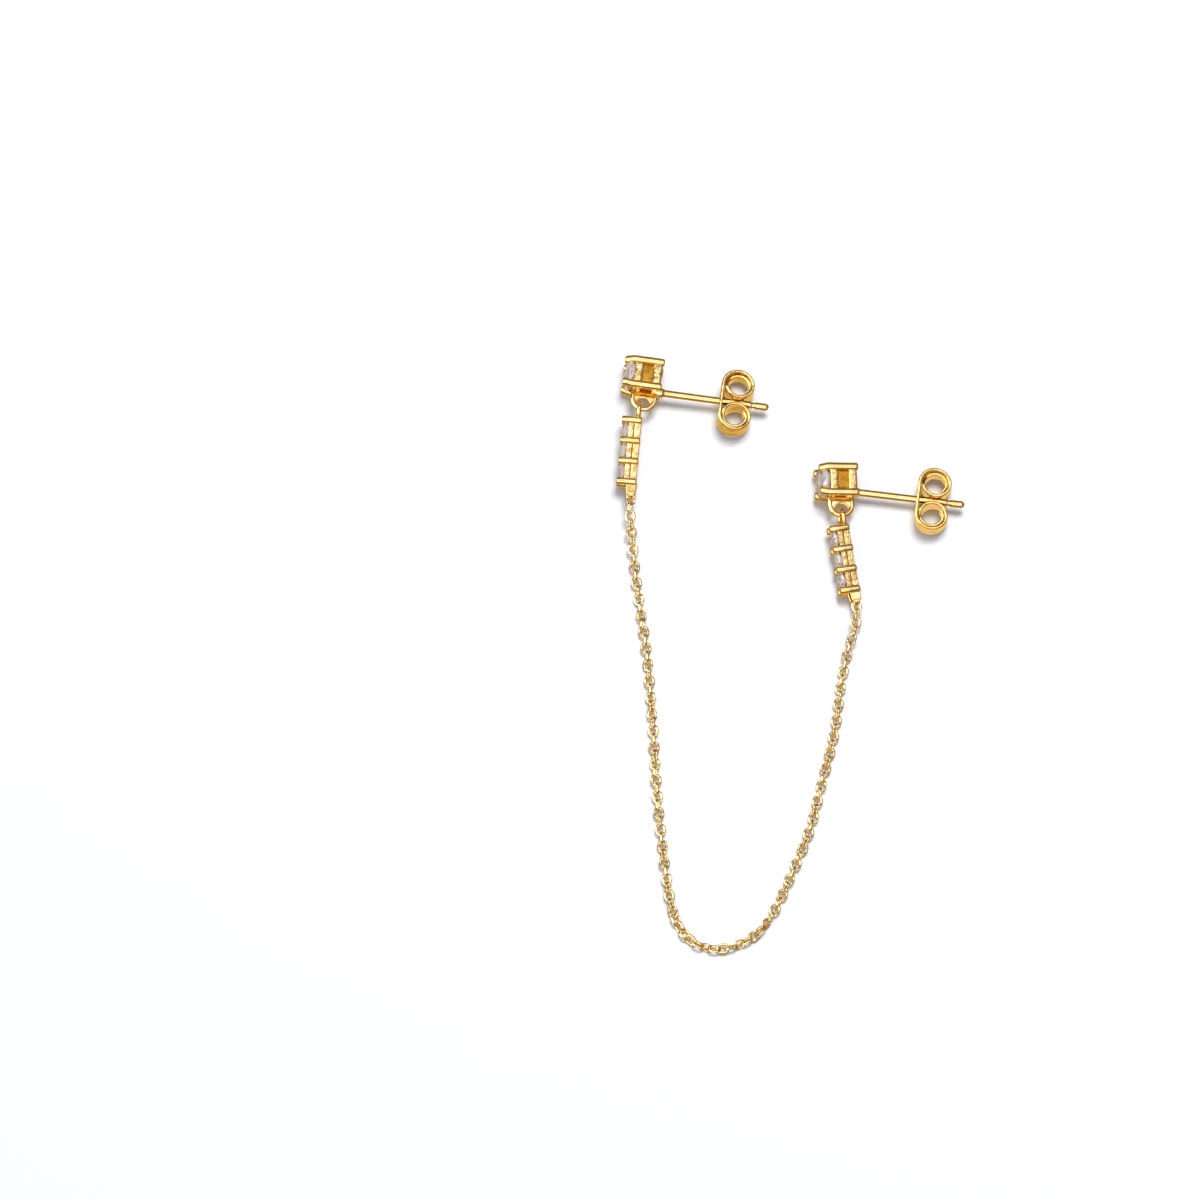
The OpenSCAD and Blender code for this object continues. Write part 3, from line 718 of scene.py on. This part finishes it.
# One seat of a drop's rail: a plate with a round hole, between the circle of the hole and the
# rectangle of the seat. Each ray from the hole's middle carries a soft-cornered section.
def railSeat(x, thick, top, bottom, high, count=72):
    hole, edge = dropSizes["holeD"] / 2, dropSizes["railEdge"]
    corners = np.arctan2([high, high, -high, -high], [top, bottom] * 2)
    turn = np.unique(np.round(np.concatenate([np.linspace(-np.pi, np.pi, count, False), corners]), 9))
    ray = np.stack([np.cos(turn), np.sin(turn)], -1)
    with np.errstate(divide="ignore"):
        toY = np.where(ray[:, 0] > 0, top, bottom) / ray[:, 0]
        toZ = high / np.abs(ray[:, 1])
    outer = np.minimum(toY, toZ)
    bend = np.linspace(0, np.pi / 2, 4)
    half = thick / 2
    inward = edge * (1 - np.sin(bend))
    along = half - edge * (1 - np.cos(bend))
    # section points as (share of the way out, way back in, x), round the section
    section = np.concatenate(
        [
            np.stack([np.ones(4), -inward[::-1], -along[::-1]], -1)[::-1],
            np.stack([np.ones(4), -inward, along], -1)[::-1],
            np.stack([np.zeros(4), inward, along], -1),
            np.stack([np.zeros(4), inward[::-1], -along[::-1]], -1),
        ]
    )
    reach = hole + (outer[:, None] - hole) * section[None, :, 0] + section[None, :, 1]
    rings = np.stack(
        [
            np.broadcast_to(x + half + section[:, 2], reach.shape),
            ray[:, :1] * reach,
            ray[:, 1:] * reach,
        ],
        -1,
    )
    return skin(rings, loop=True, metal=1)


# A sheet's section for each of several widths: a rounded section 2 mm wide, whose halves are moved
# out by width / 2 - 1
def sheetSections(sheet, widths, edge):
    section = roundedSection(sheet, 2.0, edge)
    sections = np.broadcast_to(section, (len(widths),) + section.shape).copy()
    sections[..., 1] += np.sign(sections[..., 1]) * (widths[:, None] / 2 - 1)
    return sections


# The eye: a band carried down, round a half circle and up again in the YZ plane, its width
# following four chosen widths down its length
def eyeBand(dropLow, steps=18):
    d = dropSizes
    sheet = d["eyeSheet"]
    bend = (d["eyeHigh"] - sheet) / 2
    turn = np.linspace(0, np.pi, steps)
    lowest = -d["eyeLength"] + sheet / 2 + bend
    legs = np.linspace(d["sink"], lowest, 14)[:-1]
    leg = np.stack([0 * legs, legs, np.full(len(legs), bend)], -1)
    bow = np.stack([0 * turn, lowest - bend * np.sin(turn), bend * np.cos(turn)], -1)
    path = np.concatenate([leg, bow, (leg * (1, 1, -1))[::-1]])
    marks = [-d["eyeLength"], d["eyeTipLength"] - d["eyeLength"]]
    marks += [marks[1] + d["eyeNarrow"], d["sink"]]
    wide = np.interp(path[:, 1], marks, [d["eyeTipWide"]] * 2 + [d["eyeLowWide"], d["eyeTopWide"]])
    path = path + [d["eyeBack"], dropLow, 0]
    return skin(carried(path, np.array([1.0, 0, 0]), sheetSections(sheet, wide, d["eyeEdge"])))


# A drop: rows of two prongs, two rails of ring-shaped seats, the ring, the eye and the stones
def buildDrop(side):
    d = dropSizes
    turn, place = turnBy(d["turn"][side]), dropAt(side)
    pitch = d["stoneD"] + d["stoneGap"]
    tip = -d["depth"] / 2
    girdleShare = stoneShares["crown"] + stoneShares["girdle"]
    frontX = tip + d["tableInset"] + girdleShare * d["stoneD"] + d["seatGap"] + d["frontFiled"]
    backX = d["depth"] / 2 - d["railThick"] - d["railSetback"]
    low = -d["stones"] * pitch - d["railEnd"]
    high = d["rowWide"] / 2 + d["railProud"]
    parts = []
    for row in range(d["stones"] + 1):
        for z in (-1, 1):
            arm = prong(d["depth"], d["prongD"], (0, 0, -z * d["lean"]), d["leanFrom"])
            parts.append(placed(arm, np.eye(3), [tip, -row * pitch, z * d["rowWide"] / 2]))
    for x, thick in ((frontX, d["railThick"] - d["frontFiled"]), (backX, d["railThick"])):
        for k in range(d["stones"]):
            middle = -(k + 0.5) * pitch
            top = d["railEnd"] if k == 0 else -k * pitch
            bottom = low if k == d["stones"] - 1 else -(k + 1) * pitch
            seat = railSeat(x, thick, top - middle, bottom - middle, high)
            parts.append(placed(seat, np.eye(3), [0, middle, 0]))
    ringR = (d["ringD"] - d["ringWireD"]) / 2
    ringY = d["railEnd"] - d["sink"] + d["ringD"] / 2
    path = ringsAbout(np.array([[d["ringBack"], ringR]]), 48)[0] + [0, ringY, 0]
    wire = circle(d["ringWireD"] / 2, 20)
    parts.append(skin(carried(path, np.array([1.0, 0, 0]), wire, loop=True), loop=True))
    parts.append(eyeBand(low))
    parts = [placed(part, turn, place) for part in parts]
    drop = makeObject(side + "_drop_gold", parts, [polishedGold, castGold])
    finishPiece(drop, bodyName, side + "_drop")
    for k in range(d["stones"]):
        table = place + turn @ [tip + d["tableInset"], -(k + 0.5) * pitch, 0]
        buildStone(f"{side}_drop_stone_{k + 1}", d["stoneD"], turn, table)


# Ear nuts


# The sheet's middle line: an oval spiral for each scroll, point = middle + (half size - closing) *
# (cos, sin), mirrored for the other scroll and joined by the plate. With it, how far it is wound.
def nutLine(steps=170):
    n = nutSizes
    step = n["sheet"] + n["coilGap"]
    wide = (n["scrollLength"] - n["sheet"] + step / 2) / 2
    tall = (n["scrollHigh"] - n["sheet"] + step) / 2
    middle = np.array([n["sheet"] / 2 + wide, (n["scrollGap"] + n["sheet"]) / 2 + tall - 0.75 * step])
    wound = np.linspace(0, n["windingTurn"], steps)
    closing = step * wound / 360
    angle = np.radians(180 - wound)
    upper = middle + np.stack([(wide - closing) * np.cos(angle), (tall - closing) * np.sin(angle)], -1)
    plate = np.linspace(upper[0], upper[0] * (1, -1), 12)[1:-1]
    line = np.concatenate([upper[::-1], plate, upper * (1, -1)])
    return line, np.concatenate([wound[::-1], np.zeros(len(plate)), wound])


# A nut: the sheet carried along its line, narrower towards the scrolls' far side and in their inner
# turn, with edges that wander by unevenMm * (1 + sin * cos), and a hole drilled through for the post
def buildNut(side):
    n = nutSizes
    line, wound = nutLine()
    path = np.concatenate([line, np.zeros((len(line), 1))], 1)
    share = np.clip((line[:, 0] - n["sheet"]) / (n["scrollLength"] - n["sheet"]), 0, 1)
    wide = n["plateWide"] + (n["scrollWide"] - n["plateWide"]) * share
    innerShare = softStep((wound - n["innerFrom"][0]) / (n["innerFrom"][1] - n["innerFrom"][0]))
    wide += (n["innerWide"] - wide) * innerShare
    wide -= n["unevenMm"] * (1 + np.sin(np.radians(wound * 3.1)) * np.cos(np.radians(wound * 1.7)))
    body = skin(carried(path, np.array([0.0, 0, 1]), sheetSections(n["sheet"], wide, n["edge"])))
    reach = n["scrollLength"] + 1
    drill = turnedRod(np.array([[-1, 0], [-1, n["holeR"]], [reach, n["holeR"]], [reach, 0]]), 48)
    turn = turnBy(postSizes["turn"][side])
    place = postRoot(side) + turn @ [n["stand"][side], 0, 0]
    nut = makeObject(side + "_ear_nut_gold", [placed(body, turn, place)], [rolledGold])
    cutter = makeObject("drill", [placed(drill, turn, place)], [rolledGold])
    pierce = nut.modifiers.new("hole", "BOOLEAN")
    pierce.object = cutter
    pierce.solver = "EXACT"
    bpy.context.view_layer.update()
    pierced = bpy.data.meshes.new_from_object(nut.evaluated_get(bpy.context.evaluated_depsgraph_get()))
    nut.modifiers.clear()
    nut.data = pierced
    bpy.data.objects.remove(cutter)
    pierced.set_sharp_from_angle(angle=np.radians(sharpAt))
    finishPiece(nut, side + "_nut", side + "_ear_nut")


# Chain

linkSizes = {
    "flatLength": 1.27,
    "uprightLength": 1.366,
    "wide": 1.04,
    "wireD": 0.25,
    "flatFrom": 0.7,  # a link whose plane's normal rises more than this is a flat one
    "rolls": ((16, 1.7), (11, 0.61)),  # how far links roll off flat, in degrees, and how fast it changes
}


# Place and axes of every link, from the frame's chain: the loose solids are told apart by the
# lowest point number that spreads over their shared corners, and each solid's longest and
# shortest directions are the link's length and its plane's normal
def linkPlaces():
    mesh = frame["nodes"]["chain"].data
    points = np.zeros(len(mesh.vertices) * 3)
    mesh.vertices.foreach_get("co", points)
    mesh.calc_loop_triangles()
    corners = np.zeros(len(mesh.loop_triangles) * 3, np.int64)
    mesh.loop_triangles.foreach_get("vertices", corners)
    points, same = np.unique(np.round(points.reshape(-1, 3) / mm, 4), axis=0, return_inverse=True)
    triangles = same.reshape(-1)[corners].reshape(-1, 3)
    label = np.arange(len(points))
    while True:
        lower = label.copy()
        lowest = np.broadcast_to(label[triangles].min(1, keepdims=True), triangles.shape)
        np.minimum.at(lower, triangles, lowest)
        lower = lower[lower]
        if (lower == label).all():
            break
        label = lower
    places = []
    for solid in np.unique(label):
        cloud = points[label == solid]
        spread, axes = np.linalg.eigh(np.cov((cloud - cloud.mean(0)).T))
        places.append((cloud.mean(0), axes[:, 2], axes[:, 0]))
    return places


# A link: a round wire carried round an oval of two half circles and two straight sides
def linkShape(length, bowSteps=8, around=8):
    l = linkSizes
    bend = (l["wide"] - l["wireD"]) / 2
    straight = (length - l["wide"]) / 2
    turn = np.linspace(-np.pi / 2, np.pi / 2, bowSteps)
    bow = np.stack([straight + bend * np.cos(turn), bend * np.sin(turn), 0 * turn], -1)
    path = np.concatenate([bow, bow * (-1, -1, 1)])
    wire = circle(l["wireD"] / 2, around)
    return skin(carried(path, np.array([0.0, 0, 1]), wire, loop=True), loop=True)


# Each link touches its neighbours, so the flat ones are a little shorter than the upright ones. A
# link rolls about its length: new normal = cos * normal + sin * beside.
def buildChain():
    flat, upright = linkShape(linkSizes["flatLength"]), linkShape(linkSizes["uprightLength"])
    parts = []
    for k, (middle, ahead, normal) in enumerate(linkPlaces()):
        shape = flat if abs(normal[2]) > linkSizes["flatFrom"] else upright
        roll = np.radians(sum(far * np.sin(fast * k) for far, fast in linkSizes["rolls"]))
        beside = np.cross(normal, ahead)
        up, beside = (
            np.cos(roll) * normal + np.sin(roll) * beside,
            np.cos(roll) * beside - np.sin(roll) * normal,
        )
        parts.append(placed(shape, np.stack([ahead, beside, up], -1), middle))
    print("links:", len(parts))
    finishPiece(makeObject("chain_gold", parts, [drawnGold]), bodyName, "chain")


# The piece

for side in sides:
    buildStud(side)
    buildStudStone(side)
    buildDrop(side)
    buildNut(side)
    print(side, "stud, drop and nut built")
buildChain()
print("chain built")


# Floor, light and camera

studio = {
    "floorSize": 4.4,  # in metres, as the three lines below
    "sweepFrom": 1.9,  # radius at which the backdrop starts to rise, its bend and its top
    "sweepBend": 0.5,
    "sweepHigh": 3.0,
    "floorDownMm": 0.02,
    "lightsAway": 0.7,
    "elevation": 75.5,  # the photograph looks down this steeply, along +Y
    "lookAtMm": (-18.3, 5.67, 0),  # what lies at the middle of the photograph
    "frameMm": 115.4,  # width of the photograph at the floor
    "distance": 1.5,
    "sensorMm": 36,
}

# Each softbox: direction as azimuth from +Y towards +X and elevation, size in metres, radiance,
# and whether it lights the table or only shines in the metal
softboxes = {
    "key": {"azimuth": 20, "elevation": 72, "size": (0.24, 0.22), "radiance": 23.0, "shines": False},
    "south": {"azimuth": 180, "elevation": 57.5, "size": (0.85, 0.73), "radiance": 1.03, "shines": True},
    "north": {"azimuth": 0, "elevation": 69, "size": (0.85, 0.22), "radiance": 1.5, "shines": True},
    "west": {"azimuth": 266, "elevation": 33, "size": (0.7, 0.6), "radiance": 3.4, "shines": True},
}

# The room round the table, from straight down to straight up: height of the direction, colour.
# The metal sees the lower half in place of the table: cream straight below, then amber card.
roomLight = (
    (0.0, (1.15, 0.98, 0.6)),
    (0.02, (0.92, 0.69, 0.27)),
    (0.06, (0.55, 0.38, 0.11)),
    (0.28, (0.57, 0.41, 0.12)),
    (0.5, (0.15, 0.1, 0.045)),
    (0.62, (0.17, 0.14, 0.1)),
    (0.8, (0.32, 0.33, 0.34)),
    (0.92, (0.56, 0.58, 0.61)),
    (1.0, (0.77, 0.81, 0.87)),
)


# A part of the stage in the table's white, which the metal doesn't reflect
def makeStage(name, points, quads):
    mesh = bpy.data.meshes.new(name)
    mesh.from_pydata(points, [], quads)
    mesh.polygons.foreach_set("use_smooth", [True] * len(quads))
    mesh.materials.append(whiteTable)
    thing = putInScene(name, mesh)
    thing.visible_glossy = False  # in the metal, the room's lower half stands in for the table
    return thing


# The floor: a square a hair below the lowest point
def buildFloor():
    half, low = studio["floorSize"] / 2, -studio["floorDownMm"] * mm
    corners = [(-half, -half, low), (half, -half, low), (half, half, low), (-half, half, low)]
    makeStage("floor", corners, [(0, 1, 2, 3)])


# The backdrop, a round sweep that only the camera sees: rings of (radius, height) round the middle,
# a quarter circle up, then straight up
def buildBackdrop(around=96):
    rise = np.linspace(0, np.pi / 2, 13)
    radius = studio["sweepFrom"] + studio["sweepBend"] * np.sin(rise)
    height = studio["sweepBend"] * (1 - np.cos(rise))
    line = np.append(np.stack([height, radius], -1), [[studio["sweepHigh"], radius[-1]]], 0)
    rings = np.roll(ringsAbout(line, around), -1, -1)  # about Z instead of X
    quads = ringQuads(len(line), around)[:, ::-1]
    backdrop = makeStage("backdrop", rings.reshape(-1, 3), quads.tolist())
    backdrop.visible_diffuse = backdrop.visible_transmission = backdrop.visible_shadow = False


# A softbox turned to face the piece. Its power is radiance * pi * area.
def hangSoftbox(name, box):
    around, up = np.radians([box["azimuth"], box["elevation"]])
    way = np.array([np.sin(around) * np.cos(up), np.cos(around) * np.cos(up), np.sin(up)])
    lamp = bpy.data.lights.new(name, "AREA")
    lamp.shape = "RECTANGLE"
    lamp.size, lamp.size_y = box["size"]
    lamp.energy = box["radiance"] * np.pi * box["size"][0] * box["size"][1]
    holder = putInScene(name, lamp)
    holder.location = way * studio["lightsAway"]
    holder.rotation_euler = Vector(-way).to_track_quat("-Z", "Y").to_euler()
    holder.visible_camera = False
    holder.visible_diffuse = not box["shines"]
    holder.visible_glossy = box["shines"]


# The room's light: its colour follows (height of the direction + 1) / 2
def buildWorld():
    world = bpy.data.worlds.new("studio")
    bpy.context.scene.world = world
    world.use_nodes = True
    tree = world.node_tree
    tree.nodes.clear()
    where = add(tree, "ShaderNodeTexCoord")
    split = add(tree, "ShaderNodeSeparateXYZ", i0=(where, "Generated"))
    height = add(tree, "ShaderNodeMapRange", i0=(split, 2), i1=-1.0, i2=1.0)
    ramp = add(tree, "ShaderNodeValToRGB", i0=(height, 0))
    stops = ramp.color_ramp.elements
    for k, (at, tint) in enumerate(roomLight):
        stop = stops[k] if k < 2 else stops.new(at)
        stop.position = at
        stop.color = tint + (1,)
    light = add(tree, "ShaderNodeBackground", Color=(ramp, 0), Strength=1.0)
    add(tree, "ShaderNodeOutputWorld", Surface=(light, 0))


# The camera: lens = sensor * distance / width of the frame
def buildCamera():
    tilt = np.radians(studio["elevation"])
    target = np.array(studio["lookAtMm"]) * mm
    camera = bpy.data.cameras.new("camera")
    camera.sensor_width = studio["sensorMm"]
    camera.lens = studio["sensorMm"] * studio["distance"] / (studio["frameMm"] * mm)
    camera.clip_start, camera.clip_end = 0.01, 10
    holder = putInScene("camera", camera)
    holder.location = target + studio["distance"] * np.array([0, -np.cos(tilt), np.sin(tilt)])
    holder.rotation_euler = (np.pi / 2 - tilt, 0, 0)
    bpy.context.scene.camera = holder


buildFloor()
buildBackdrop()
buildWorld()
for name, box in softboxes.items():
    hangSoftbox(name, box)
buildCamera()
bpy.context.scene.view_settings.view_transform = "Standard"
print("floor, light and camera ready")
